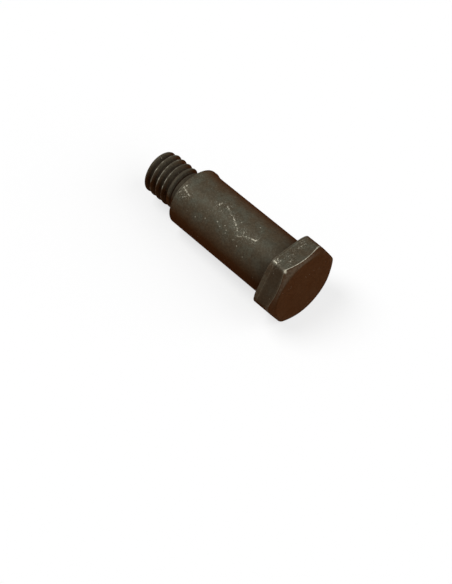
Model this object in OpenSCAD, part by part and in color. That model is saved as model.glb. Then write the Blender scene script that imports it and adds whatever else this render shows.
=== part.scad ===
// Shoulder bolt with a hexagon head, lying on its side as it comes to rest on a table.
// Sizes are in millimetres. +X runs from the head to the tip of the thread, +Z is up, and the
// origin is on the table under the middle of the bolt.
// The bolt is modelled on its own axis first: the bearing face of the head is at z = 0, the head
// lies below it and the shank above it. One of the head's flats faces local +X, the way down at rest.

/* [Head] */
// Width of the hexagon across its flats
head_flats = 15.875; // [14.5:0.125:20]
// Height of the head from its bearing face to its outer face
head_height = 4.75; // [3:0.25:8]
// What is missing at each corner of the hexagon, along the radius
corner_loss = 0.2; // [0.05:0.05:0.4]
// How far the rim of the outer face lies inside the flats
face_inset = 0.6; // [0.1:0.05:1]
// Slope of the chamfer round the outer face
face_chamfer_angle = 30; // [15:1:40]
// How far the bearing face is cut back at each corner, along the radius
bearing_corner_cut = 0.7; // [0.2:0.05:0.9]
// Slope of the small flat that takes each corner off the bearing face
bearing_corner_angle = 36; // [15:1:45]

/* [Shoulder] */
// Diameter of the shoulder
shoulder_d = 12.6; // [11:0.1:14]
// Length of the shoulder from the head to its end face
shoulder_length = 26.1; // [15:0.1:60]
// Radius of the rounded rim at the end of the shoulder
shoulder_rim_r = 0.3; // [0.2:0.1:0.8]
// Radius of the fillet between the head and the shoulder
head_fillet_r = 0.3; // [0.2:0.1:0.6]

/* [Thread] */
// Diameter over the crests of the thread
thread_d = 9.3; // [8:0.05:10]
// Distance from one crest to the next
thread_pitch = 1.5875; // [1:0.0125:2]
// Length from the end face of the shoulder to the tip
thread_length = 9.9; // [8:0.05:20]
// How far the plain neck lies below the crests
neck_step = 0.4; // [0.2:0.05:0.6]
// Length of the plain neck between the shoulder and the thread
neck_length = 1.6; // [1:0.1:2.5]
// Length over which the crests rise from the neck to their full height
crest_rise_length = 2.2; // [1:0.1:3]
// Radius of the fillet between the shoulder and the neck
neck_fillet_r = 0.3; // [0.2:0.1:0.6]
// Depth of the chamfer at the tip, along the radius
tip_chamfer_depth = 0.5; // [0.3:0.1:1]
// Length of the chamfer at the tip, along the axis
tip_chamfer_length = 0.7; // [0.4:0.1:1.5]
// Direction round the axis in which the thread's groove starts
groove_start_angle = 340; // [0:5:355]
// Angle over which the groove sinks from the crests to its full depth
groove_run_in_angle = 240; // [90:10:360]

/* [Hidden] */

$fn = 96;

// Standard sixty-degree thread form
flank_angle = 30;
crest_flat = thread_pitch / 8;
root_flat = thread_pitch / 4;
thread_depth = (thread_pitch - crest_flat - root_flat) / (2 * tan(flank_angle));

// Head
sharp_corner_r = head_flats / 2 / cos(30);
corner_r = sharp_corner_r - corner_loss;
face_r = head_flats / 2 - face_inset;
bearing_r = corner_r - bearing_corner_cut;
face_chamfer_height = (corner_r - face_r) * tan(face_chamfer_angle);

// Shank
shoulder_r = shoulder_d / 2;
crest_r = thread_d / 2;
root_r = crest_r - thread_depth;
neck_r = crest_r - neck_step;
tip_r = crest_r - tip_chamfer_depth;
tip_z = shoulder_length + thread_length;
neck_end_z = shoulder_length + neck_length;

// How far the fillets run on into what they join, and the hexagon bar past both ends of the bolt
fillet_overlap = 0.1;
bar_margin = 1;

// The groove's cutting shape runs past the tip by one pitch and stands a little outside the crests
cutter_clearance = 0.08;
cutter_r = crest_r + cutter_clearance;
groove_step_angle = 7.5;
degrees_per_mm = 360 / thread_pitch;
groove_angle = (tip_z + thread_pitch - neck_end_z) * degrees_per_mm;
groove_steps = ceil(groove_angle / groove_step_angle);

// At rest the bolt touches the table with the lower flat's edge at the bearing side and with the
// rim of the shoulder, so the axis falls towards the thread
rest_rise = head_flats / 2 - (shoulder_r - shoulder_rim_r);
rest_run = shoulder_length - shoulder_rim_r;
rest_tilt = atan2(rest_rise, rest_run) - asin(shoulder_rim_r / norm([rest_rise, rest_run]));
rest_height = head_flats / 2 * cos(rest_tilt);
rest_x_min = -head_height * cos(rest_tilt) - face_r * sin(rest_tilt);
rest_x_max = tip_z * cos(rest_tilt) + tip_r * sin(rest_tilt);
rest_x_middle = (rest_x_min + rest_x_max) / 2;

// Height of the groove's floor above the root at an angle past its start
function groove_lift(angle) =
    (thread_depth + cutter_clearance / 2) * max(0, 1 - angle / groove_run_in_angle);

// Corners of the groove's section in the plane through the axis, as distance from the axis and height
function groove_section(lift) =
    let (floor_r = root_r + lift)
    let (mouth = root_flat / 2 + (cutter_r - floor_r) * tan(flank_angle))
    [[cutter_r, -mouth], [floor_r, -root_flat / 2], [floor_r, root_flat / 2], [cutter_r, mouth]];

// A corner of the section, carried along the helix to an angle past the groove's start
function on_helix(corner, angle) =
    let (direction = groove_start_angle + angle)
    [
        corner[0] * cos(direction),
        corner[0] * sin(direction),
        neck_end_z + angle / degrees_per_mm + corner[1],
    ];

// The helical shape that the thread's groove removes
module groove_cutter() {
    corners = len(groove_section(0));
    angles = [for (i = [0 : groove_steps]) i * groove_step_angle];
    points = [for (a = angles) for (corner = groove_section(groove_lift(a))) on_helix(corner, a)];
    sides = [
        for (i = [0 : groove_steps - 1])
        for (j = [0 : corners - 1])
        let (here = i * corners, next = (i + 1) * corners, k = (j + 1) % corners)
        each [[here + j, next + j, here + k], [here + k, next + j, next + k]]
    ];
    last = groove_steps * corners;
    caps = [[0, 1, 2], [0, 2, 3], [last + 2, last + 1, last], [last + 3, last + 2, last]];
    polyhedron(points, concat(sides, caps));
}

// Half section of the head as turned, before its flats, with the chamfer round its outer face
module head_section() {
    polygon([
        [0, -head_height],
        [face_r, -head_height],
        [corner_r, -head_height + face_chamfer_height],
        [corner_r, 0],
        [0, 0],
    ]);
}

// Half section of a concave fillet at the foot of a cylinder
module fillet_section(foot_r, foot_z, fillet_r) {
    difference() {
        translate([foot_r - fillet_overlap, foot_z - fillet_overlap])
            square(fillet_r + fillet_overlap);
        translate([foot_r + fillet_r, foot_z + fillet_r])
            circle(fillet_r);
    }
}

// Half section of the shoulder with its rounded rim and the fillet under the head
module shoulder_section() {
    translate([0, -head_height / 2])
        square([shoulder_r, shoulder_length - shoulder_rim_r + head_height / 2]);
    square([shoulder_r - shoulder_rim_r, shoulder_length]);
    translate([shoulder_r - shoulder_rim_r, shoulder_length - shoulder_rim_r])
        circle(shoulder_rim_r);
    fillet_section(shoulder_r, 0, head_fillet_r);
}

// Half section of the neck and of the thread before its groove is cut
module thread_section() {
    polygon([
        [0, 0],
        [neck_r, 0],
        [neck_r, neck_end_z],
        [crest_r, neck_end_z + crest_rise_length],
        [crest_r, tip_z - tip_chamfer_length],
        [tip_r, tip_z],
        [0, tip_z],
    ]);
    fillet_section(neck_r, shoulder_length, neck_fillet_r);
}

// The whole bolt as turned on a lathe
module turned_blank() {
    rotate_extrude() {
        head_section();
        shoulder_section();
        thread_section();
    }
}

// The hexagon bar, whose flats only the head reaches
module hexagon_bar() {
    translate([0, 0, -head_height - bar_margin])
        rotate(30)
        cylinder(h = head_height + tip_z + 2 * bar_margin, r = sharp_corner_r, $fn = 6);
}

// Six blocks that take the corners off the bearing face, each leaving a small sloping flat
module bearing_corner_cutters() {
    for (direction = [30 : 60 : 330])
        rotate(direction)
        translate([bearing_r, -sharp_corner_r / 2, 0])
        rotate([0, bearing_corner_angle, 0])
        cube([head_height, sharp_corner_r, head_height]);
}

// The bolt in one piece, laid on the table
module shoulder_bolt() {
    color("#4a4138")
        translate([-rest_x_middle, 0, rest_height])
        rotate([0, 90 + rest_tilt, 0])
        difference() {
            intersection() {
                hexagon_bar();
                turned_blank();
            }
            groove_cutter();
            bearing_corner_cutters();
        }
}

shoulder_bolt();
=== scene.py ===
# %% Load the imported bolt
import math

import bpy
import numpy as np
from mathutils import Matrix


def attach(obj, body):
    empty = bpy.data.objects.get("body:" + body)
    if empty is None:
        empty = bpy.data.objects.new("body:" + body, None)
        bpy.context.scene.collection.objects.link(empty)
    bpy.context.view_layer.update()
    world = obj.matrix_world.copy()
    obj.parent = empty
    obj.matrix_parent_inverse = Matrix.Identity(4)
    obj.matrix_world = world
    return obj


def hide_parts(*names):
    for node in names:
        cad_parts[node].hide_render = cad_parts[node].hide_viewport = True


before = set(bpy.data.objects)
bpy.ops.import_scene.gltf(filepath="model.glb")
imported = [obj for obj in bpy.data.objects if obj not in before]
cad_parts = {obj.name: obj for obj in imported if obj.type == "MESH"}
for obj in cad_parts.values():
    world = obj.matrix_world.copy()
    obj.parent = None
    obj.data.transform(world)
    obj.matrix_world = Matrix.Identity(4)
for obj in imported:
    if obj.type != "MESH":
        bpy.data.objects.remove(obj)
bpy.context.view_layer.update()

# %% [markdown]
# # A worn shoulder bolt on a pale table
#
# The bolt is one piece of steel with a dark oxide finish: a hexagon head, a plain shoulder that a
# lever turns on, a short neck and a coarse thread. It lies on one flat of its head and on the rim of
# its shoulder, so its axis falls a little towards the thread.
#
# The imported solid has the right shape, but its edges are as sharp as a drawing. Here the same bolt
# is made again as a fine mesh with broken edges, a rolled thread and worn oxide. The sizes below are
# those of the solid, in millimetres, along the bolt's own axis: the bearing face of the head is at
# height 0, the head lies below it and the shank above it.

# %% Sizes of the bolt in millimetres
MM = 0.001

HALF_FLATS = 15.875 / 2
HEAD_HEIGHT = 4.75
CORNER_LOSS = 0.2
CORNER_RADIUS = HALF_FLATS / math.cos(math.radians(30)) - CORNER_LOSS
FACE_RADIUS = HALF_FLATS - 0.6
FACE_SLOPE = math.tan(math.radians(30))

SHOULDER_RADIUS = 6.3
SHOULDER_LENGTH = 26.1
SHOULDER_RIM = 0.3
HEAD_FILLET = 0.3

CREST_RADIUS = 9.3 / 2
NECK_RADIUS = CREST_RADIUS - 0.4
NECK_FILLET = 0.3
NECK_END = SHOULDER_LENGTH + 1.6
CREST_RISE = 2.2
TIP = SHOULDER_LENGTH + 9.9
TIP_CHAMFER_LENGTH = 0.7
TIP_RADIUS = CREST_RADIUS - 0.5
PITCH = 1.5875

FULL_LENGTH = HEAD_HEIGHT + TIP
print("bolt length in mm:", FULL_LENGTH)

# %% [markdown]
# ## The camera
#
# The photograph was taken from above, over the head's end of the bolt. The camera comes first, so
# that every later choice can be looked at from there. Its place, turn and lens were found by laying
# the outline of the solid over the outline in the photograph.

# %% Stand the camera where the photographer stood
CAMERA_PLACE = (-0.11848, 0.13569, 0.23922)
CAMERA_TURN = (35.127, -4.024, -133.432)
LENS = 92.47
SENSOR_WIDTH = 36

camera_data = bpy.data.cameras.new("photo_camera")
camera_data.lens = LENS
camera_data.sensor_width = SENSOR_WIDTH
camera = bpy.data.objects.new("photo_camera", camera_data)
camera.location = CAMERA_PLACE
camera.rotation_euler = [math.radians(turn) for turn in CAMERA_TURN]
bpy.context.scene.collection.objects.link(camera)
bpy.context.scene.camera = camera
print("camera", CAMERA_PLACE, "lens", LENS)

# %% [markdown]
# ## Directions round the axis
#
# The mesh is a grid: columns run along the bolt, rows run round it. A hexagon needs columns close
# together where its corners turn and can do with fewer along its flats. Direction 0 is the flat on
# the table, so the seam of the grid is hidden there, and the six corners are at 30, 90, 150 degrees
# and so on. Seen from the camera, 120 is the left flat and 180 the top flat.

# %% Place the columns
CORNER_OFFSETS = (
    0, 0.8, 1.5, 2.0, 2.3, 2.6, 3.1, 3.9, 5.0, 6.6, 8.6, 10.7,
    12.3, 14.0, 15.9, 17.9, 20.0, 22.2, 24.6, 27.2, 30,
)
sector = [30 - offset for offset in reversed(CORNER_OFFSETS)]
sector += [30 + offset for offset in CORNER_OFFSETS[1:-1]]
AROUND = np.array([60 * side + direction for side in range(6) for direction in sector])
TURNS = np.radians(AROUND)
FROM_CORNER = np.abs((AROUND % 60) - 30)
COLUMNS = len(AROUND)
print("columns:", COLUMNS)


# %% Helpers that vary a number round the axis
def window(centre, half_width, softness=4):
    """1 in the directions near centre and 0 elsewhere, changing over some degrees."""
    return np.clip((half_width - np.abs(AROUND - centre)) / softness, 0, 1)


def hill(centre, spread):
    """A soft hill of height 1 at centre."""
    return np.exp(-(((AROUND - centre) / spread) ** 2))


def smooth_min(a, b, reach):
    """The smaller of two numbers, with the change from one to the other rounded off."""
    blend = np.maximum(reach - np.abs(a - b), 0) / reach
    return np.minimum(a, b) - blend**3 * reach / 6


LEFT_FLAT = 120
TOP_FLAT = 180
FLAT_HALF_WIDTH = 32
CORNER_SPREAD = 6

on_left_flat = window(LEFT_FLAT, FLAT_HALF_WIDTH)
on_top_flat = window(TOP_FLAT, FLAT_HALF_WIDTH)
near_corner = np.exp(-((FROM_CORNER / CORNER_SPREAD) ** 2))
print("columns on the top flat:", int((on_top_flat > 0).sum()))

# %% [markdown]
# ## The head's wall and its corners
#
# The six flats are straight, but the blank was turned first, so each corner keeps a narrow round
# land. A smooth minimum of the two radii gives the land a soft edge. Only the corner between the
# left and the top flat has stayed crisper. Spanners have worn a slight taper into the bearing side
# of two flats, and one flat stands out a little more than the others.

# %% Work out the wall of the head in each direction
LAND_SOFTNESS = 0.6
CRISP_CORNER = 150
CRISPNESS = 0.35
PROUD_FLAT = 240
PROUD = 0.15
TAPER = 0.1
TAPER_MIDDLE = 148
TAPER_HALF_WIDTH = 60
LEAST_TAPER = 0.002
TAPER_HEIGHT = 0.55
EXTRA_TAPER_HEIGHT = 0.45
TALL_TAPER_HALF_WIDTH = 31

land_softness = LAND_SOFTNESS - CRISPNESS * window(CRISP_CORNER, half_width=20, softness=10)
flat_distance = HALF_FLATS + PROUD * (np.abs(AROUND - PROUD_FLAT) < 30)
flat_radius = flat_distance / np.cos(math.radians(30) - np.radians(FROM_CORNER))
wall_radius = smooth_min(flat_radius, CORNER_RADIUS, land_softness)
tapered_radius = wall_radius - LEAST_TAPER - TAPER * window(TAPER_MIDDLE, TAPER_HALF_WIDTH)
taper_is_tall = np.maximum(window(LEFT_FLAT, TALL_TAPER_HALF_WIDTH), near_corner)
taper_height = TAPER_HEIGHT + EXTRA_TAPER_HEIGHT * taper_is_tall
print("wall radius in mm:", wall_radius.min(), "to", wall_radius.max())

# %% [markdown]
# ## Rounding the section
#
# No edge of a used bolt is sharp. Each corner of the section becomes a small arc between its two
# neighbours. The helper works on all columns at once and adds a supporting row on either side of the
# arc, so that smooth shading stays within the round. An arc never takes up half of an edge, so two
# arcs on one edge can't meet.

# %% Helpers that make rows
SUPPORT = 0.05
SUPPORT_SHARE = 0.1
MOST_CUT = 0.45


def point(radius, height):
    """One row: the distance from the axis and the height along it, in every direction."""
    row_radii = np.broadcast_to(np.asarray(radius, float), COLUMNS)
    row_heights = np.broadcast_to(np.asarray(height, float), COLUMNS)
    return np.stack([row_radii, row_heights], axis=1)


def rounded(before, corner, after, radius, steps):
    """The rows of an arc that takes the place of a corner, with a supporting row at both ends."""
    back = before - corner
    ahead = after - corner
    back_length = np.linalg.norm(back, axis=1, keepdims=True)
    ahead_length = np.linalg.norm(ahead, axis=1, keepdims=True)
    back = back / back_length
    ahead = ahead / ahead_length
    half = np.arccos(np.clip((back * ahead).sum(axis=1, keepdims=True), -1, 1)) / 2
    cut = np.minimum(radius / np.tan(half), MOST_CUT * np.minimum(back_length, ahead_length))
    middle = (back + ahead) / np.linalg.norm(back + ahead, axis=1, keepdims=True)
    centre = corner + middle * cut / np.cos(half)
    first = corner + back * cut - centre
    last = corner + ahead * cut - centre
    sweep = math.pi - 2 * half
    arc = [corner + back * (cut + np.minimum(SUPPORT, SUPPORT_SHARE * back_length))]
    for share in np.linspace(0, 1, steps + 1):
        turned = np.sin((1 - share) * sweep) * first + np.sin(share * sweep) * last
        arc.append(centre + turned / np.sin(sweep))
    arc.append(corner + ahead * (cut + np.minimum(SUPPORT, SUPPORT_SHARE * ahead_length)))
    return arc


def between(start, end, count):
    """Evenly spaced rows between two rows, without the two themselves."""
    shares = np.linspace(0, 1, count + 2)[1:-1]
    return [start + (end - start) * share for share in shares]


print("helpers for rows ready")

# %% [markdown]
# ## The corners of the section
#
# These are the corners of the drawing, from the middle of the head to the tip, with three small
# irregularities of this bolt. The outer face lies off centre, so its chamfer is widest on the side
# that faces the camera. The rim of the shoulder stands a little proud of the end face, most on the
# left. The tip has lost less to its chamfer than the drawing says.

# %% Describe the corners of the section
FACE_SHIFT = 0.32
FACE_SHIFT_DIRECTION = 325
RIM_PROUD = 0.11
RIM_SLANT = 0.1
RIM_SLANT_DIRECTION = 90
TIP_RIM_RADIUS = TIP_RADIUS + 0.15

face_radius = FACE_RADIUS + FACE_SHIFT * np.cos(np.radians(AROUND - FACE_SHIFT_DIRECTION))
rim_proud = RIM_PROUD + RIM_SLANT * np.cos(np.radians(AROUND - RIM_SLANT_DIRECTION))

face_middle = point(0, -HEAD_HEIGHT)
face_rim = point(face_radius, -HEAD_HEIGHT)
chamfer_edge = point(wall_radius, -HEAD_HEIGHT + (wall_radius - face_radius) * FACE_SLOPE)
taper_start = point(wall_radius, -taper_height)
bearing_edge = point(tapered_radius, 0)
shoulder_foot = point(SHOULDER_RADIUS, 0)
shoulder_end = point(SHOULDER_RADIUS, SHOULDER_LENGTH + rim_proud)
neck_foot = point(NECK_RADIUS, SHOULDER_LENGTH)
neck_end = point(NECK_RADIUS, NECK_END)
tip_rim = point(TIP_RIM_RADIUS, TIP)
tip_middle = point(0, TIP)
print("rim proud by", rim_proud.min(), "to", rim_proud.max(), "mm")

# %% Round the corners of the section
FACE_ROUND = 0.25
CHAMFER_ROUND = 0.1
TAPER_ROUND = 0.6
BEARING_ROUND = 0.1
BEARING_CORNER_ROUND = 0.4
RIM_ROUND = SHOULDER_RIM - 0.15

# What each corner of the head adds to the round of the chamfer's edge, and over how many degrees
CORNER_ROUNDS = {
    30: (0.7, 13),
    90: (0.5, 6),
    150: (0.05, 6),
    210: (0.15, 6),
    270: (0.1, 6),
    330: (0.8, 6),
}
chamfer_edge_round = np.full((COLUMNS, 1), CHAMFER_ROUND)
for direction, (extra, spread) in CORNER_ROUNDS.items():
    chamfer_edge_round[:, 0] += extra * hill(direction, spread)
bearing_edge_round = BEARING_ROUND + BEARING_CORNER_ROUND * near_corner[:, None]

face_round = rounded(face_middle, face_rim, chamfer_edge, FACE_ROUND, 4)
chamfer_round = rounded(face_rim, chamfer_edge, taper_start, chamfer_edge_round, 5)
taper_round = rounded(chamfer_edge, taper_start, bearing_edge, TAPER_ROUND, 3)
bearing_round = rounded(taper_start, bearing_edge, shoulder_foot, bearing_edge_round, 7)
foot_round = rounded(bearing_edge, shoulder_foot, shoulder_end, HEAD_FILLET, 6)
rim_round = rounded(shoulder_foot, shoulder_end, neck_foot, RIM_ROUND, 8)
neck_round = rounded(shoulder_end, neck_foot, neck_end, NECK_FILLET, 6)
print("rounds up to", chamfer_edge_round.max(), "mm at the head's corners")

# %% [markdown]
# ## The turned blank
#
# The rows are strung together from the middle of the head to the tip. Each row also gets two numbers
# in each direction. One says how much oxide has been rubbed off, because edges lose it first, with a
# painted highlight added on the top chamfer's edge. The other says how much painted shade, with some
# grime, darkens it: in the corners round the shoulder and the neck, on the shoulder near the head and
# on the left flat. Where the thread will be, the rows lie close together: the thread itself is rolled
# in later.

# %% Say where the oxide is rubbed off and where painted shade and grime darken it
FACE_EDGE_WEAR = 0.01
CHAMFER_WEAR = 0.01 + 0.06 * window(155, 60, 30)
# On the top flat the chamfer's edge is brightened far more: partly wear, partly a painted highlight
CHAMFER_EDGE_WEAR_AND_HIGHLIGHT = 0.12 + 0.85 * on_top_flat
WALL_WEAR = 0.06 * window(150, 2, 2)
TAPER_EDGE_WEAR = 0.02 + 0.07 * on_left_flat + 0.08 * on_top_flat
BEARING_EDGE_WEAR = 0.08 + 0.06 * on_top_flat
RIM_WEAR = 0.02 + 0.2 * window(143, 15, 10)
TIP_WEAR = 0.25

# Painted shade with some grime: darkening on the left flat, on the shoulder near the head, in the
# fillets and at the neck
WALL_SHADE_AND_GRIME = 0.42 * on_left_flat + 0.08 * on_top_flat
BEARING_SHADE_AND_GRIME = 0.4
FOOT_SHADE_AND_GRIME = 0.5
SHOULDER_SHADE_AND_GRIME = 0.4 + 0.4 * window(118, 42, 20)
SHOULDER_SHADE_AND_GRIME_REACH = 3.5
END_FACE_SHADE_AND_GRIME = 0.3
NECK_FOOT_SHADE_AND_GRIME = 0.7
NECK_SHADE_AND_GRIME = 0.5
NECK_SHADE_AND_GRIME_END = NECK_END + 0.6
NECK_SHADE_AND_GRIME_FADE = 0.8
print("most wear on the chamfer's edge:", CHAMFER_EDGE_WEAR_AND_HIGHLIGHT.max())

# %% String the rows of the head and the shoulder together
rows = []
row_wear_and_highlight = []
row_shade_and_grime = []


def lay(new_rows, wear_and_highlight=0.0, shade_and_grime=0.0):
    """Add rows to the blank, with their wear and painted highlight, and their painted shade and
    grime.
    """
    for row in new_rows:
        rows.append(row)
        row_wear_and_highlight.append(np.broadcast_to(wear_and_highlight, COLUMNS))
        row_shade_and_grime.append(np.broadcast_to(shade_and_grime, COLUMNS))


def lay_edge(new_rows, wear_and_highlight):
    """Add the rows of a round, which is worn most in its middle."""
    for row, share in zip(new_rows, np.sin(np.linspace(0, math.pi, len(new_rows)))):
        lay([row], wear_and_highlight * share)


lay([point(share * face_radius, -HEAD_HEIGHT) for share in (0.12, 0.35, 0.6, 0.82)])
lay_edge(face_round, FACE_EDGE_WEAR)
lay(between(face_round[-1], chamfer_round[0], 3), CHAMFER_WEAR)
lay_edge(chamfer_round, CHAMFER_EDGE_WEAR_AND_HIGHLIGHT)
lay(between(chamfer_round[-1], taper_round[0], 6), WALL_WEAR, WALL_SHADE_AND_GRIME)
lay_edge(taper_round, TAPER_EDGE_WEAR)
lay(between(taper_round[-1], bearing_round[0], 1))
lay_edge(bearing_round, BEARING_EDGE_WEAR)
lay(between(bearing_round[-1], foot_round[0], 2), 0.0, BEARING_SHADE_AND_GRIME)
lay(foot_round, 0.0, FOOT_SHADE_AND_GRIME)
for shoulder_row in between(foot_round[-1], rim_round[0], 30):
    shade_and_grime_share = math.exp(-shoulder_row[0, 1] / SHOULDER_SHADE_AND_GRIME_REACH)
    lay([shoulder_row], 0.0, SHOULDER_SHADE_AND_GRIME * shade_and_grime_share)
lay_edge(rim_round, RIM_WEAR)
lay(between(rim_round[-1], neck_round[0], 2), 0.0, END_FACE_SHADE_AND_GRIME)
lay(neck_round, 0.0, NECK_FOOT_SHADE_AND_GRIME)
print("rows of the head and the shoulder:", len(rows))

# %% String the rows of the neck, the thread and the tip together
THREAD_ROW_STEP = 0.05
TIP_MARGIN = 0.2
TIP_ROUND = 0.12
BLANK_SOFTNESS = 0.1


def blank_radius(height):
    """Radius of the blank from the neck to the tip, before the thread is rolled."""
    crest_slope = (CREST_RADIUS - NECK_RADIUS) / CREST_RISE
    rising = np.maximum(NECK_RADIUS + (height - NECK_END) * crest_slope, NECK_RADIUS)
    tip_slope = (CREST_RADIUS - TIP_RIM_RADIUS) / TIP_CHAMFER_LENGTH
    chamfer = TIP_RIM_RADIUS + (TIP - height) * tip_slope
    return smooth_min(smooth_min(rising, CREST_RADIUS, BLANK_SOFTNESS), chamfer, BLANK_SOFTNESS)


thread_start = neck_round[-1][0, 1] + THREAD_ROW_STEP
thread_heights = np.arange(thread_start, TIP - TIP_MARGIN, THREAD_ROW_STEP)
for row_height, row_radius in zip(thread_heights, blank_radius(thread_heights)):
    shade_and_grime_share = np.clip((NECK_SHADE_AND_GRIME_END - row_height) / NECK_SHADE_AND_GRIME_FADE, 0, 1)
    lay([point(row_radius, row_height)], 0.0, NECK_SHADE_AND_GRIME * shade_and_grime_share)
tip_round = rounded(rows[-1], tip_rim, tip_middle, TIP_ROUND, 4)
lay(tip_round[1:-1], TIP_WEAR)
lay([point(share * TIP_RIM_RADIUS, TIP) for share in (0.86, 0.6, 0.3)])
ROWS = len(rows)
print("rows:", ROWS)

# %% [markdown]
# ## From rows to a closed mesh
#
# The rows become rings of points, and two single points close the ends. On the right the rim of the
# shoulder has been knocked outwards, and that bulge is added to the radii first.

# %% Turn the rows into a closed mesh
LIP = 0.3
LIP_HEIGHT = SHOULDER_LENGTH - 0.7
LIP_REACH = 0.85
LIP_DIRECTION = 234
LIP_SPREAD = 38

section = np.array(rows)
radii = section[:, :, 0]
heights = section[:, :, 1]
on_shoulder_wall = radii > SHOULDER_RADIUS - SHOULDER_RIM
lip_along = np.exp(-(((heights - LIP_HEIGHT) / LIP_REACH) ** 4)) * on_shoulder_wall
radii = radii + LIP * lip_along * hill(LIP_DIRECTION, LIP_SPREAD)

grid = np.stack([radii * np.cos(TURNS), radii * np.sin(TURNS), heights], axis=2)
points = grid.reshape(-1, 3).tolist()
face_pole = len(points)
tip_pole = face_pole + 1
points += [(0, 0, -HEAD_HEIGHT), (0, 0, TIP)]

faces = []
for column in range(COLUMNS):
    following = (column + 1) % COLUMNS
    faces.append((face_pole, following, column))
    for row_number in range(ROWS - 1):
        here = row_number * COLUMNS
        above = here + COLUMNS
        faces.append((here + column, here + following, above + following, above + column))
    end_row = (ROWS - 1) * COLUMNS
    faces.append((end_row + column, end_row + following, tip_pole))

bolt_mesh = bpy.data.meshes.new("bolt_blank")
bolt_mesh.from_pydata(points, [], faces)
print("blank:", len(points), "points,", len(faces), "faces")

# %% [markdown]
# ## Numbers that travel with the mesh
#
# Scratches follow the surface, so the mesh gets an unrolled map: one coordinate along the axis and
# one round it. The rubbed places, with a painted highlight on some edges, and the darkened places,
# painted shade with some grime, become two attributes. Two spots on one corner of the head have been
# knocked bright, and they are added to the wear.

# %% Store the wear and the painted shade
# Distance from the axis, direction, height, size and strength of each spot
WORN_SPOTS = (
    (CORNER_RADIUS, 149.7, -3.75, 0.25, 1.8),
    (CORNER_RADIUS - 0.2, 152, -0.6, 0.5, 0.2),
)

wear_and_highlight_numbers = np.array(row_wear_and_highlight)
for spot_radius, direction, spot_height, size, strength in WORN_SPOTS:
    turn = math.radians(direction)
    spot = np.array([spot_radius * math.cos(turn), spot_radius * math.sin(turn), spot_height])
    from_spot = np.linalg.norm(grid - spot, axis=2)
    wear_and_highlight_numbers = np.maximum(wear_and_highlight_numbers, strength * np.exp(-((from_spot / size) ** 2)))

for name, numbers in (("wear_and_highlight", wear_and_highlight_numbers), ("shade_and_grime", np.array(row_shade_and_grime))):
    attribute = bolt_mesh.attributes.new(name, "FLOAT", "POINT")
    with_poles = np.append(numbers.ravel(), [0, 0])
    attribute.data.foreach_set("value", with_poles.astype(np.float32))
print("most wear:", wear_and_highlight_numbers.max())

# %% Store the unrolled map
all_heights = np.append(heights.ravel(), [-HEAD_HEIGHT, TIP])
along_shares = (all_heights + HEAD_HEIGHT) / FULL_LENGTH
around_edges = np.append(AROUND, 360) / 360

round_shares = []
for column in range(COLUMNS):
    near = around_edges[column]
    far = around_edges[column + 1]
    round_shares += [far, far, near]
    round_shares += [near, far, far, near] * (ROWS - 1)
    round_shares += [near, far, near]

corner_points = np.empty(len(bolt_mesh.loops), np.int32)
bolt_mesh.loops.foreach_get("vertex_index", corner_points)
unrolled_map = np.stack([along_shares[corner_points], round_shares], axis=1)
unrolled = bolt_mesh.uv_layers.new(name="unrolled")
unrolled.uv.foreach_set("vector", unrolled_map.astype(np.float32).ravel())
print("unrolled map for", len(unrolled_map), "face corners")

# %% [markdown]
# ## Rolling the thread
#
# A thread follows one rule all the way along, so Geometry Nodes make it. For each point the tree
# works out how many turns of the helix lie below it. The distance to the nearest turn of the groove
# gives the radius of the groove's wall there, and the point is pulled in to it. The groove starts
# shallow at the neck, as a rolled thread does. Smooth minimum and maximum round the crests and roots.
# The tree also darkens the grooves with painted shade and marks the crests as worn, with a painted
# highlight on their lit side.


# %% Helpers that add nodes
def add(tree, kind, sockets=None, **settings):
    """Add a node, with its settings and with what each named socket gets: a link or a value."""
    node = tree.nodes.new(kind)
    for name, value in settings.items():
        setattr(node, name, value)
    for name, value in (sockets or {}).items():
        if isinstance(value, bpy.types.NodeSocket):
            tree.links.new(value, node.inputs[name])
        else:
            node.inputs[name].default_value = value
    return node


def maths(tree, operation, *values, **settings):
    """The result of one Math node."""
    node = add(tree, "ShaderNodeMath", dict(enumerate(values)), operation=operation, **settings)
    return node.outputs[0]


def ramped(tree, value, low, high, start=0.0, end=1.0):
    """From start to end, smoothly, while value goes from low to high."""
    node = add(tree, "ShaderNodeMapRange", {
        "Value": value, "From Min": low, "From Max": high, "To Min": start, "To Max": end,
    }, interpolation_type="SMOOTHSTEP")
    return node.outputs["Result"]


print("helpers for nodes ready")

# %% Give the thread tree its sockets
FLANK = math.tan(math.radians(30))
THREAD_DEPTH = PITCH * 0.625 / (2 * FLANK)
THREAD_INPUTS = {
    "Pitch": PITCH,
    "Root radius": CREST_RADIUS - THREAD_DEPTH,
    "Root flat": PITCH / 4,
    "Flank": FLANK,
    "Start height": NECK_END,
    "Start angle": math.radians(340),
    "Run-in angle": math.radians(240),
    "Run-in lift": THREAD_DEPTH + 0.04,
    "Root rounding": 0.2,
    "Crest rounding": 0.3,
}

rolling = bpy.data.node_groups.new("roll_thread", "GeometryNodeTree")
rolling.interface.new_socket("Geometry", in_out="INPUT", socket_type="NodeSocketGeometry")
identifiers = {}
for name in THREAD_INPUTS:
    socket = rolling.interface.new_socket(name, in_out="INPUT", socket_type="NodeSocketFloat")
    identifiers[name] = socket.identifier
finish_socket = rolling.interface.new_socket(
    "Finish", in_out="INPUT", socket_type="NodeSocketMaterial"
)
rolling.interface.new_socket("Geometry", in_out="OUTPUT", socket_type="NodeSocketGeometry")
given = rolling.nodes.new("NodeGroupInput").outputs
print("thread inputs:", len(THREAD_INPUTS))

# %% Find the distance to the nearest turn of the groove
FULL_TURN = 2 * math.pi

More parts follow.
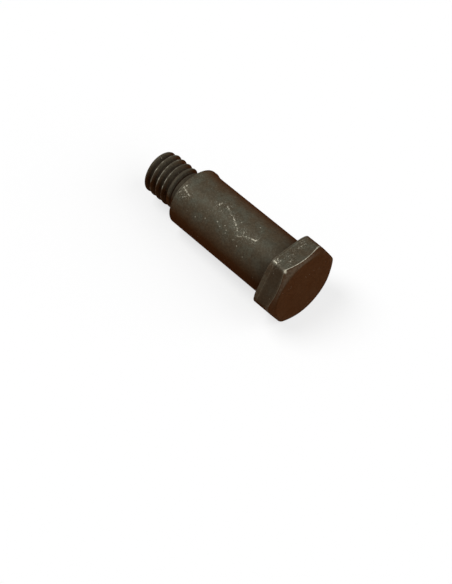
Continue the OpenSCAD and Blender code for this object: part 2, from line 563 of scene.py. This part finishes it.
position = add(rolling, "GeometryNodeInputPosition").outputs[0]
x, y, z = add(rolling, "ShaderNodeSeparateXYZ", {0: position}).outputs
angle = maths(rolling, "ARCTAN2", y, x)
angle = maths(rolling, "SUBTRACT", angle, given["Start angle"])
angle = maths(rolling, "FLOORED_MODULO", angle, FULL_TURN)
past_start = maths(rolling, "SUBTRACT", z, given["Start height"])
turns = maths(rolling, "DIVIDE", past_start, given["Pitch"])
turns = maths(rolling, "SUBTRACT", turns, maths(rolling, "DIVIDE", angle, FULL_TURN))
whole_turns = maths(rolling, "ROUND", turns)
from_groove = maths(rolling, "ABSOLUTE", maths(rolling, "SUBTRACT", turns, whole_turns))
from_groove = maths(rolling, "MULTIPLY", from_groove, given["Pitch"])
print("groove found")

# %% Shape the wall of the groove, shallow where it runs in and far out before it starts
OUT_OF_REACH = 100.0

half_root = maths(rolling, "MULTIPLY", given["Root flat"], 0.5)
past_root = maths(rolling, "SUBTRACT", from_groove, half_root)
past_root = maths(rolling, "SMOOTH_MAX", past_root, 0.0, given["Root rounding"])
wall = maths(rolling, "DIVIDE", past_root, given["Flank"])
wall = maths(rolling, "ADD", wall, given["Root radius"])

helix_angle = maths(rolling, "MULTIPLY_ADD", whole_turns, FULL_TURN, angle)
run_in = maths(rolling, "DIVIDE", helix_angle, given["Run-in angle"])
run_in = maths(rolling, "SUBTRACT", 1.0, run_in, use_clamp=True)
wall = maths(rolling, "MULTIPLY_ADD", run_in, given["Run-in lift"], wall)
before_start = maths(rolling, "LESS_THAN", whole_turns, -0.5)
wall = maths(rolling, "MULTIPLY_ADD", before_start, OUT_OF_REACH, wall)
print("groove shaped")

# %% Pull the points in to the wall
squares = maths(rolling, "MULTIPLY_ADD", x, x, maths(rolling, "MULTIPLY", y, y))
radius = maths(rolling, "MAXIMUM", maths(rolling, "SQRT", squares), 0.001)
rolled_radius = maths(rolling, "SMOOTH_MIN", radius, wall, given["Crest rounding"])
pull = maths(rolling, "DIVIDE", rolled_radius, radius)
pulled = add(rolling, "ShaderNodeCombineXYZ", {
    0: maths(rolling, "MULTIPLY", x, pull),
    1: maths(rolling, "MULTIPLY", y, pull),
    2: z,
}).outputs[0]
past_shoulder = maths(rolling, "GREATER_THAN", z, SHOULDER_LENGTH + NECK_FILLET)
print("points pulled in")

# %% Mark the grooves with painted shade and the crests with wear and a painted highlight
# The crests are brightest in one direction, towards the key lamp: wear with a painted highlight
CREST_HIGHLIGHT_TURN = math.radians(143)

# Painted shade: the grooves are darkened towards their roots
groove_depth = maths(rolling, "SUBTRACT", radius, rolled_radius)
groove_shade = maths(rolling, "MULTIPLY", ramped(rolling, groove_depth, 0.05, 0.5), past_shoulder)
groove_shade = maths(rolling, "MULTIPLY", groove_shade, ramped(rolling, from_groove, 0.42, 0.08))
# In its first turn the groove gets a narrow dark line of painted shade
first_turn = maths(rolling, "COMPARE", whole_turns, 0.0, 0.5)
first_turn = maths(rolling, "MULTIPLY", first_turn, ramped(rolling, run_in, 0.8, 0.4, end=1.3))
painted_dark_line = maths(rolling, "MULTIPLY", ramped(rolling, from_groove, 0.26, 0.1), first_turn)
painted_dark_line = maths(rolling, "MULTIPLY", painted_dark_line, past_shoulder)
groove_shade = maths(rolling, "MAXIMUM", groove_shade, painted_dark_line)

crest_highlight_side = maths(rolling, "MULTIPLY", x, math.cos(CREST_HIGHLIGHT_TURN))
crest_highlight_side = maths(rolling, "MULTIPLY_ADD", y, math.sin(CREST_HIGHLIGHT_TURN), crest_highlight_side)
crest_highlight = ramped(rolling, crest_highlight_side, 3.8, 4.5, start=0.3, end=0.75)
crest_rub_and_highlight = ramped(rolling, rolled_radius, CREST_RADIUS - 0.05, CREST_RADIUS - 0.005)
crest_rub_and_highlight = maths(rolling, "MULTIPLY", crest_rub_and_highlight, crest_highlight)
crest_rub_and_highlight = maths(rolling, "MULTIPLY", crest_rub_and_highlight, maths(rolling, "GREATER_THAN", z, NECK_END))

marked = given["Geometry"]
for name, number in (("shade_and_grime", groove_shade), ("wear_and_highlight", crest_rub_and_highlight)):
    already = add(rolling, "GeometryNodeInputNamedAttribute", {"Name": name}).outputs["Attribute"]
    marked = add(rolling, "GeometryNodeStoreNamedAttribute", {
        "Geometry": marked,
        "Name": name,
        "Value": maths(rolling, "MAXIMUM", already, number),
    }).outputs[0]
print("grooves and crests marked")

# %% Finish the thread tree
moved = add(rolling, "GeometryNodeSetPosition", {
    "Geometry": marked,
    "Selection": past_shoulder,
    "Position": pulled,
})
realized = add(rolling, "GeometryNodeRealizeInstances", {"Geometry": moved.outputs[0]})
painted = add(rolling, "GeometryNodeSetMaterial", {
    "Geometry": realized.outputs[0],
    "Material": given["Finish"],
})
add(rolling, "NodeGroupOutput", {"Geometry": painted.outputs[0]})
print("thread tree:", len(rolling.nodes), "nodes")

# %% [markdown]
# ## The finish: worn oxide
#
# The oxide is brown-black and satin. Where it faces up, towards the key lamp and the camera, an
# olive-grey painted highlight is mixed into its colour, and on its sides and below a darker red-brown
# painted shade. Fine mottling breaks up both. Scratches, specks and rubbed edges show pale bare
# steel.
# The patterns read Object coordinates in millimetres, so their scale is that of the real surface.


# %% Helpers for colours and vectors
def mixed(tree, factor, first, second, blend="MIX"):
    """The first colour, with the second blended in by the factor."""
    node = add(tree, "ShaderNodeMix", data_type="RGBA", blend_type=blend)
    for index, value in ((0, factor), (6, first), (7, second)):
        if isinstance(value, bpy.types.NodeSocket):
            tree.links.new(value, node.inputs[index])
        else:
            node.inputs[index].default_value = value
    return node.outputs[2]


def vectors(tree, operation, *values):
    """One Vector Math node: output 0 is a vector and output 1 a number."""
    return add(tree, "ShaderNodeVectorMath", dict(enumerate(values)), operation=operation)


print("helpers for colours ready")

# %% Start the oxide material and its coordinates
# From degrees round the axis to millimetres on the shoulder
MM_PER_DEGREE = SHOULDER_RADIUS * math.pi / 180

oxide = bpy.data.materials.new("worn_oxide")
oxide.use_nodes = True
paint = oxide.node_tree
paint.nodes.clear()

coordinates = paint.nodes.new("ShaderNodeTexCoord").outputs
in_mm = add(paint, "ShaderNodeMapping", {
    "Vector": coordinates["Object"],
    "Scale": (1 / MM, 1 / MM, 1 / MM),
}).outputs[0]
unrolled_place = add(paint, "ShaderNodeMapping", {
    "Vector": add(paint, "ShaderNodeUVMap", uv_map="unrolled").outputs[0],
    "Location": (-HEAD_HEIGHT, 0, 0),
    "Scale": (FULL_LENGTH, 360, 1),
}).outputs[0]
on_shoulder = add(paint, "ShaderNodeMapping", {
    "Vector": unrolled_place,
    "Scale": (1, MM_PER_DEGREE, 0),
}).outputs[0]
along, around = add(paint, "ShaderNodeSeparateXYZ", {0: unrolled_place}).outputs[:2]
print("coordinates ready")

# %% Find what faces up
# The painted highlight lies on what faces up and, as the camera sees it, a little to the left,
# halfway between the key lamp and the camera. The thread has a direction of its own, nearly straight
# up, and a gain, because its flanks face along the axis more than up.
PAINTED_SHEEN_DIRECTION = (0, 0.34, 0.94)
THREAD_PAINTED_SHEEN_DIRECTION = (0, -0.087, 0.996)
THREAD_PAINTED_SHEEN_GAIN = 1.4
THREAD_PAINTED_SHEEN_OFFSET = -0.33

normal = coordinates["Normal"]
facing = vectors(paint, "DOT_PRODUCT", normal, PAINTED_SHEEN_DIRECTION).outputs[1]
on_thread = ramped(paint, along, SHOULDER_LENGTH, NECK_END)
thread_facing = vectors(paint, "DOT_PRODUCT", normal, THREAD_PAINTED_SHEEN_DIRECTION).outputs[1]
thread_painted_sheen = maths(paint, "MULTIPLY_ADD", thread_facing, THREAD_PAINTED_SHEEN_GAIN, THREAD_PAINTED_SHEEN_OFFSET)
facing = maths(paint, "MULTIPLY_ADD", on_thread, thread_painted_sheen, facing)
print("bloom direction", PAINTED_SHEEN_DIRECTION)

# %% [markdown]
# ## Mottling
#
# A ramp gives the colour of the oxide by how far it faces up: painted highlight above, painted shade
# on the sides and below. Broad patches of noise shift it, so the painted highlight has no even edge,
# and finer noise makes it lighter and darker. Hollows stay free of painted highlight and dust and
# are darkened instead with painted shade and some grime.

# %% Mottle the oxide
# Grains of noise: how many to a millimetre, how much detail and how rough
GRAINS = {
    "patches": (0.45, 4, 0.6),
    "mottle": (2.4, 6, 0.7),
    "relief": (7.0, 3, 0.6),
    "dust": (3.6, 2, 0.6),
    "wander": (3.4, 2, 0.6),
    "beads": (4.4, 2, 0.6),
    "crumbs": (5.5, 1, 0.6),
    "rubbing": (2.2, 4, 0.6),
    "crest patches": (0.9, 3, 0.6),
}


def grain(name):
    """Noise with one of the grains named above."""
    scale, detail, roughness = GRAINS[name]
    node = add(paint, "ShaderNodeTexNoise", {
        "Vector": in_mm, "Scale": scale, "Detail": detail, "Roughness": roughness,
    })
    return node.outputs[0]


patches = grain("patches")
mottle = grain("mottle")
fine_relief = grain("relief")

# Oxide colours with painted light in them: red-brown painted shade where the surface faces sideways
# or down, olive-grey painted highlight where it faces up
OXIDE_AND_PAINTED_LIGHT_BY_FACING = (
    (0.00, (0.063, 0.0290, 0.0125)),
    (0.12, (0.054, 0.0205, 0.0072)),
    (0.45, (0.047, 0.0190, 0.0068)),
    (0.65, (0.057, 0.0350, 0.0195)),
    (0.80, (0.063, 0.0450, 0.0280)),
    (0.93, (0.0655, 0.0530, 0.0352)),
    (1.00, (0.0645, 0.0548, 0.0385)),
)
PATCH_SHIFT = 0.2

unevenness = maths(paint, "SUBTRACT", patches, 0.5)
shade = maths(paint, "MULTIPLY_ADD", unevenness, PATCH_SHIFT, facing)
oxide_and_painted_light_ramp = paint.nodes.new("ShaderNodeValToRGB")
stops = oxide_and_painted_light_ramp.color_ramp.elements
while len(stops) < len(OXIDE_AND_PAINTED_LIGHT_BY_FACING):
    stops.new(1.0)
for stop, (stop_position, colour) in zip(stops, OXIDE_AND_PAINTED_LIGHT_BY_FACING):
    stop.position = stop_position
    stop.color = (*colour, 1)
paint.links.new(shade, oxide_and_painted_light_ramp.inputs[0])
print("oxide ramp:", len(stops), "stops")

# %% Add the painted highlight, dust, and painted shade with grime
# Painted highlight: olive-grey mixed into the colour where the surface faces up towards the lamp
PAINTED_SHEEN_OLIVE_GREY = (0.075, 0.074, 0.055, 1)
DUST = (0.26, 0.25, 0.20, 1)
SHADE_AND_GRIME = (0.012, 0.006, 0.003, 1)
MOST_PAINTED_SHEEN = 0.7
MOST_DUST = 0.16
MOST_SHADE_AND_GRIME = 0.75

# This attribute is painted shade with some grime, and it also keeps the painted highlight away
shade_and_grime = add(paint, "ShaderNodeAttribute", attribute_name="shade_and_grime").outputs["Fac"]
off_thread = maths(paint, "SUBTRACT", 1.0, on_thread)
open_side = maths(paint, "SUBTRACT", off_thread, shade_and_grime, use_clamp=True)
upper_side = maths(paint, "MULTIPLY", ramped(paint, facing, 0.6, 0.95), open_side)
painted_sheen = maths(paint, "MULTIPLY", ramped(paint, patches, 0.42, 0.68, end=MOST_PAINTED_SHEEN), upper_side)
oxide_and_painted_light_colour = mixed(paint, painted_sheen, oxide_and_painted_light_ramp.outputs[0], PAINTED_SHEEN_OLIVE_GREY)
mottling = ramped(paint, mottle, 0.3, 0.7, start=0.78, end=1.22)
mottling_colour = add(paint, "ShaderNodeCombineColor", {0: mottling, 1: mottling, 2: mottling})
oxide_and_painted_light_colour = mixed(paint, 1.0, oxide_and_painted_light_colour, mottling_colour.outputs[0], "MULTIPLY")
dust = ramped(paint, grain("dust"), 0.56, 0.74, end=MOST_DUST)
dust = maths(paint, "MULTIPLY", dust, upper_side)
oxide_and_painted_light_colour = mixed(paint, dust, oxide_and_painted_light_colour, DUST)
# Painted shade: hollows and corners are darkened towards near black
oxide_and_painted_light_colour = mixed(paint, maths(paint, "MULTIPLY", shade_and_grime, MOST_SHADE_AND_GRIME), oxide_and_painted_light_colour, SHADE_AND_GRIME)
print("oxide mottled")

# %% [markdown]
# ## Scratches and specks
#
# The bolt has one long zigzag scratch on its shoulder, short strokes near the rim and on the head,
# and a few bright specks. All are placed on the unrolled map, in millimetres along the axis and
# degrees round it. The zigzag never turns back along the axis, so two drawn curves hold it. Each
# short stroke is a node group that measures the distance to a line. Too many groups would be more
# than one material can hold, which is why the zigzag isn't made of them.

# %% Places of the scratches and specks
# Along the zigzag, a third number says how faint it is there, in mm: below 0 it is a blotch
ZIGZAG = (
    (6.0, 162, 0.06), (6.3, 159, -0.13), (7.0, 157.5, -0.04), (7.8, 156, 0.1),
    (8.5, 154, 0.09), (9.0, 150, 0.11), (9.9, 145, 0.0), (10.3, 149, 0.1),
    (11.0, 155.5, 0.07), (11.8, 160, -0.02), (12.2, 162, 0.09), (12.65, 164, -0.07),
    (13.3, 167, 0.1), (14.5, 170, 0.1), (15.5, 174.5, -0.06), (16.0, 176, 0.02),
)
# Start, end and faintness: beside the zigzag, near the rim of the shoulder, and on the head
STROKES = (
    ((17.2, 174), (17.4, 168), 0.0), ((17.4, 168), (18.2, 167), 0.08),
    ((15.6, 174), (15.9, 167), 0.12), ((9.0, 150), (9.4, 159), 0.11),
    ((23.5, 147), (24.5, 150), 0.02), ((24.5, 150), (25.3, 151), -0.04),
    ((25.2, 152), (25.8, 153), 0.0), ((25.3, 158), (25.4, 157), 0.03),
    ((24.0, 142), (24.6, 137), 0.08), ((25.5, 145), (25.8, 140), 0.05),
    ((-0.4, 151), (-1.4, 151), 0.0), ((-1.3, 151), (-1.4, 157.5), 0.04),
    ((-0.6, 157), (-1.3, 153), 0.06), ((-1.4, 184), (-1.7, 200), 0.13),
    ((-1.35, 163), (-1.9, 176), 0.12), ((-1.0, 197), (-1.1, 202), 0.1),
    ((-2.8, 164), (-2.4, 170), 0.11),
)
SPECKS = (
    (17.8, 134), (15.2, 143), (14.2, 139), (12.6, 141), (12.4, 136),
    (8.8, 131), (6.6, 122), (11.2, 169), (7.8, 184), (19.9, 124),
    (13.4, 146), (10.2, 136), (32.6, 204), (31.5, 197), (35.3, 179),
)
print("zigzag of", len(ZIGZAG), "places,", len(STROKES), "strokes,", len(SPECKS), "specks")

# %% Draw the zigzag with two curves along the axis
ZIGZAG_START = ZIGZAG[0][0]
ZIGZAG_LENGTH = ZIGZAG[-1][0] - ZIGZAG_START

zigzag_share = maths(paint, "SUBTRACT", along, ZIGZAG_START)
zigzag_share = maths(paint, "DIVIDE", zigzag_share, ZIGZAG_LENGTH)


def drawn(values, low, high):
    """A curve over the length of the zigzag, with one value between low and high at each place."""
    node = add(paint, "ShaderNodeFloatCurve", {"Value": zigzag_share})
    curve = node.mapping.curves[0]
    shares = [(place[0] - ZIGZAG_START) / ZIGZAG_LENGTH for place in ZIGZAG]
    levels = [(value - low) / (high - low) for value in values]
    curve.points[0].location = (shares[0], levels[0])
    curve.points[1].location = (shares[-1], levels[-1])
    for share, level in zip(shares[1:-1], levels[1:-1]):
        curve.points.new(share, level)
    for curve_point in curve.points:
        curve_point.handle_type = "VECTOR"
    node.mapping.update()
    return maths(paint, "MULTIPLY_ADD", node.outputs[0], high - low, low)


zigzag_direction = drawn([direction for along_axis, direction, faint in ZIGZAG], 140, 180)
zigzag_faintness = drawn([faint for along_axis, direction, faint in ZIGZAG], -0.2, 0.2)
aside = maths(paint, "SUBTRACT", around, zigzag_direction)
aside = maths(paint, "MULTIPLY", maths(paint, "ABSOLUTE", aside), MM_PER_DEGREE)
past_end = maths(paint, "ABSOLUTE", maths(paint, "SUBTRACT", zigzag_share, 0.5))
past_end = maths(paint, "MAXIMUM", maths(paint, "SUBTRACT", past_end, 0.5), 0.0)
past_end = maths(paint, "MULTIPLY", past_end, ZIGZAG_LENGTH)
scratch_gap = maths(paint, "ADD", maths(paint, "ADD", aside, zigzag_faintness), past_end)
print("zigzag length in mm:", ZIGZAG_LENGTH)

# %% A node group for the distance to one stroke
stroke = bpy.data.node_groups.new("distance_to_stroke", "ShaderNodeTree")
for name in ("Place", "Start", "End"):
    stroke.interface.new_socket(name, in_out="INPUT", socket_type="NodeSocketVector")
stroke.interface.new_socket("Faintness", in_out="INPUT", socket_type="NodeSocketFloat")
stroke.interface.new_socket("Distance", in_out="OUTPUT", socket_type="NodeSocketFloat")

inside = stroke.nodes.new("NodeGroupInput").outputs
from_start = vectors(stroke, "SUBTRACT", inside["Place"], inside["Start"]).outputs[0]
length = vectors(stroke, "SUBTRACT", inside["End"], inside["Start"]).outputs[0]
reach = vectors(stroke, "DOT_PRODUCT", from_start, length).outputs[1]
length_squared = vectors(stroke, "DOT_PRODUCT", length, length).outputs[1]
length_squared = maths(stroke, "ADD", length_squared, 1e-6)
share_along = maths(stroke, "DIVIDE", reach, length_squared, use_clamp=True)
foot = add(stroke, "ShaderNodeVectorMath", {0: length, "Scale": share_along}, operation="SCALE")
stroke_gap = vectors(stroke, "DISTANCE", from_start, foot.outputs[0]).outputs[1]
stroke_gap = maths(stroke, "ADD", stroke_gap, inside["Faintness"])
add(stroke, "NodeGroupOutput", {"Distance": stroke_gap})
print("stroke group:", len(stroke.nodes), "nodes")

# %% Place the strokes and the specks
FAR_AWAY = 10.0


def on_map(spot):
    """A place along the axis and round it, in millimetres on the shoulder."""
    return (spot[0], spot[1] * MM_PER_DEGREE, 0)


for stroke_start, stroke_end, faintness in STROKES:
    node = add(paint, "ShaderNodeGroup", node_tree=stroke)
    paint.links.new(on_shoulder, node.inputs["Place"])
    node.inputs["Start"].default_value = on_map(stroke_start)
    node.inputs["End"].default_value = on_map(stroke_end)
    node.inputs["Faintness"].default_value = faintness
    scratch_gap = maths(paint, "MINIMUM", scratch_gap, node.outputs["Distance"])

speck_gap = FAR_AWAY
for spot in SPECKS:
    spot_gap = vectors(paint, "DISTANCE", on_shoulder, on_map(spot)).outputs[1]
    speck_gap = maths(paint, "MINIMUM", spot_gap, speck_gap)
print("strokes and specks placed")

# %% [markdown]
# ## Ragged scratches and rubbed edges
#
# A scratch in oxide is a row of beads, not a clean line. Noise moves its edge, breaks it up and
# strews crumbs beside it. Rubbed edges follow the wear numbers of the mesh, also broken up by noise,
# most of all on the crests of the thread; on the crests and the top chamfer's edge they are partly a
# painted highlight. The strongest of all these masks wins.

# %% Make the scratches ragged and beaded
SCRATCH_WANDER = 0.8
SPECK_WANDER = 0.35
CELLS_PER_MM = 1.6

wander = maths(paint, "SUBTRACT", grain("wander"), 0.5)
ragged_gap = maths(paint, "MULTIPLY_ADD", wander, SCRATCH_WANDER, scratch_gap)
beads = ramped(paint, grain("beads"), 0.44, 0.62, start=0.1)
scratches = maths(paint, "MULTIPLY", ramped(paint, ragged_gap, 0.2, 0.0), beads)
crumbs = ramped(paint, grain("crumbs"), 0.6, 0.72, end=0.32)
crumbs = maths(paint, "MULTIPLY", crumbs, ramped(paint, scratch_gap, 1.8, 0.2))
speck_gap = maths(paint, "MULTIPLY_ADD", wander, SPECK_WANDER, speck_gap)
specks_worn = ramped(paint, speck_gap, 0.17, 0.03, end=0.42)

# Fine specks anywhere: a few of the random points of a cell pattern, where they meet the surface
cells = add(paint, "ShaderNodeTexVoronoi", {"Vector": in_mm, "Scale": CELLS_PER_MM}).outputs
cell_number = add(paint, "ShaderNodeSeparateColor", {0: cells["Color"]}).outputs[0]
chosen = ramped(paint, cell_number, 0.86, 0.9)
fine_specks = ramped(paint, cells["Distance"], 0.17, 0.05, end=0.25)
fine_specks = maths(paint, "MULTIPLY", fine_specks, chosen)
print("scratches ragged")

# %% Rub the edges
# The wear attribute also carries a painted highlight on the thread's lit crests and the top chamfer's
# edge
edge_wear_and_highlight = add(paint, "ShaderNodeAttribute", attribute_name="wear_and_highlight").outputs["Fac"]
rubbing = ramped(paint, grain("rubbing"), 0.34, 0.6, start=0.4)
crest_patches = ramped(paint, grain("crest patches"), 0.42, 0.62, start=0.1)
crest_patches = maths(paint, "MAXIMUM", crest_patches, off_thread)
worn_and_highlit = maths(paint, "MULTIPLY", maths(paint, "MULTIPLY", edge_wear_and_highlight, crest_patches), rubbing)
for mask in (scratches, crumbs, specks_worn, fine_specks):
    worn_and_highlit = maths(paint, "MAXIMUM", worn_and_highlit, mask, use_clamp=True)
print("edges rubbed")

# %% [markdown]
# ## Putting the finish together
#
# Oxide on steel is dark, satin and only a little metallic, and its reflections are brown, so the
# white table doesn't turn its sides grey. A faint relief follows the mottling, and scratches lie a
# little deeper than the rest.

# %% Put the finish together
BARE_STEEL = (0.52, 0.49, 0.39, 1)
BROWN_REFLECTION = (0.5, 0.14, 0.04, 1)
METALLIC = 0.15
LEAST_ROUGHNESS = 0.4
MOST_ROUGHNESS = 0.54
FINE_RELIEF = 0.4
SCRATCH_DEPTH = 0.6
BUMP_STRENGTH = 0.35
BUMP_HEIGHT = 0.02 * MM

surface = add(paint, "ShaderNodeBsdfPrincipled", {
    "Base Color": mixed(paint, worn_and_highlit, oxide_and_painted_light_colour, BARE_STEEL),
    "Metallic": METALLIC,
    "Roughness": ramped(paint, mottle, 0.2, 0.8, start=LEAST_ROUGHNESS, end=MOST_ROUGHNESS),
    "Specular IOR Level": 0.0,
    "Specular Tint": BROWN_REFLECTION,
})
relief = maths(paint, "MULTIPLY_ADD", fine_relief, FINE_RELIEF, mottle)
relief = maths(paint, "MULTIPLY_ADD", worn_and_highlit, -SCRATCH_DEPTH, relief)
bumpy = add(paint, "ShaderNodeBump", {
    "Height": relief,
    "Strength": BUMP_STRENGTH,
    "Distance": BUMP_HEIGHT,
})
paint.links.new(bumpy.outputs[0], surface.inputs["Normal"])
add(paint, "ShaderNodeOutputMaterial", {"Surface": surface.outputs[0]})
print("oxide material:", len(paint.nodes), "nodes")

# %% [markdown]
# ## Rolling, laying down and handing over
#
# The modifier runs once and its result becomes a plain mesh. Then the bolt is laid on the table, by
# the same turn and shift as the solid, and only the mesh is moved: the object stays at the origin.

# %% Roll the thread
roller = bpy.data.objects.new("bolt_blank", bolt_mesh)
bpy.context.scene.collection.objects.link(roller)
modifier = roller.modifiers.new("roll thread", "NODES")
modifier.node_group = rolling
for name, value in THREAD_INPUTS.items():
    modifier[identifiers[name]] = value
modifier[finish_socket.identifier] = oxide

evaluated = roller.evaluated_get(bpy.context.evaluated_depsgraph_get())
rolled_mesh = bpy.data.meshes.new_from_object(evaluated)
roller.modifiers.remove(modifier)
bpy.data.objects.remove(roller)
print("rolled mesh:", len(rolled_mesh.polygons), "faces")

# %% Lay the bolt on the table and hand it over
rise = HALF_FLATS - (SHOULDER_RADIUS - SHOULDER_RIM)
run = SHOULDER_LENGTH - SHOULDER_RIM
tilt = math.atan2(rise, run) - math.asin(SHOULDER_RIM / math.hypot(rise, run))
low_x = -HEAD_HEIGHT * math.cos(tilt) - FACE_RADIUS * math.sin(tilt)
high_x = TIP * math.cos(tilt) + TIP_RADIUS * math.sin(tilt)
shift = Matrix.Translation((-(low_x + high_x) / 2, 0, HALF_FLATS * math.cos(tilt)))
lie_down = shift @ Matrix.Rotation(math.radians(90) + tilt, 4, "Y")
rolled_mesh.transform(Matrix.Scale(MM, 4) @ lie_down)
rolled_mesh.shade_smooth()

bolt = bpy.data.objects.new("worn_shoulder_bolt", rolled_mesh)
bpy.context.scene.collection.objects.link(bolt)
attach(bolt, "root")
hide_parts("shoulder_bolt")
print("bolt laid down, tilt in degrees:", math.degrees(tilt))

# %% [markdown]
# ## Table and light
#
# The table is plain and pale. Light Path lets the camera and reflections see it almost white, while
# the light that it throws back on the bolt is that of a duller table, because the sides of the bolt
# are dark in the photograph. A broad key lamp stands high beyond the thread and lights the top of
# the bolt. A wider fill lamp at the head's end lights the face of the head. The world is white to
# look at and adds only a little light.


# %% Lay the table
def seen_directly(tree):
    """1 for rays that look at the surface, straight or in a reflection, and 0 for its light."""
    ray = tree.nodes.new("ShaderNodeLightPath").outputs
    seen = maths(tree, "MAXIMUM", ray["Is Camera Ray"], ray["Is Glossy Ray"])
    return maths(tree, "MAXIMUM", seen, ray["Is Transmission Ray"])


WHITE = (1, 1, 1, 1)
TABLE_COLOUR = (0.93, 0.93, 0.93, 1)
BOUNCE_COLOUR = (0.3, 0.28, 0.25, 1)
TABLE_GLOW = 0.7
TABLE_HALF = 3.0
# Just below the lowest point of the worn bolt
TABLE_HEIGHT = -0.00002

table_mesh = bpy.data.meshes.new("table")
table_corners = [(-1, -1), (1, -1), (1, 1), (-1, 1)]
table_points = [(TABLE_HALF * a, TABLE_HALF * b, TABLE_HEIGHT) for a, b in table_corners]
table_mesh.from_pydata(table_points, [], [(0, 1, 2, 3)])
table = bpy.data.objects.new("table", table_mesh)
bpy.context.scene.collection.objects.link(table)

table_finish = bpy.data.materials.new("pale_table")
table_finish.use_nodes = True
cover = table_finish.node_tree
cover.nodes.clear()
lit = add(cover, "ShaderNodeBsdfDiffuse", {"Color": TABLE_COLOUR}).outputs[0]
glow = add(cover, "ShaderNodeEmission", {"Color": WHITE, "Strength": 1.0}).outputs[0]
shown = add(cover, "ShaderNodeMixShader", {0: TABLE_GLOW, 1: lit, 2: glow}).outputs[0]
bounce = add(cover, "ShaderNodeBsdfDiffuse", {"Color": BOUNCE_COLOUR}).outputs[0]
table_surface = add(cover, "ShaderNodeMixShader", {0: seen_directly(cover), 1: bounce, 2: shown})
add(cover, "ShaderNodeOutputMaterial", {"Surface": table_surface.outputs[0]})
table_mesh.materials.append(table_finish)
print("table", 2 * TABLE_HALF, "m wide")


# %% Hang the lamps
def hang_sun(name, towards, strength, spread):
    """A sun in the direction given, which spreads over some degrees of the sky."""
    lamp_data = bpy.data.lights.new(name, "SUN")
    lamp_data.energy = strength
    lamp_data.angle = math.radians(spread)
    lamp = bpy.data.objects.new(name, lamp_data)
    bpy.context.scene.collection.objects.link(lamp)
    side, depth, up = towards
    from_above = math.acos(up / math.dist(towards, (0, 0, 0)))
    lamp.rotation_euler = (from_above, 0, math.atan2(depth, side) + math.pi / 2)


hang_sun("key", (0.45, 0.27, 0.85), strength=2.08, spread=34)
hang_sun("front_fill", (-0.8, -0.3, 0.58), strength=2.05, spread=70)
print("lamps hung")

# %% Surround the table with a white world
WORLD_LIGHT = 0.15

world = bpy.data.worlds.new("studio")
bpy.context.scene.world = world
world.use_nodes = True
sky = world.node_tree
backdrop = sky.nodes["Background"]
backdrop.inputs["Color"].default_value = WHITE
world_strength = maths(sky, "MULTIPLY_ADD", seen_directly(sky), 1 - WORLD_LIGHT, WORLD_LIGHT)
sky.links.new(world_strength, backdrop.inputs["Strength"])
bpy.context.scene.view_settings.view_transform = "Standard"
print("world light", WORLD_LIGHT)
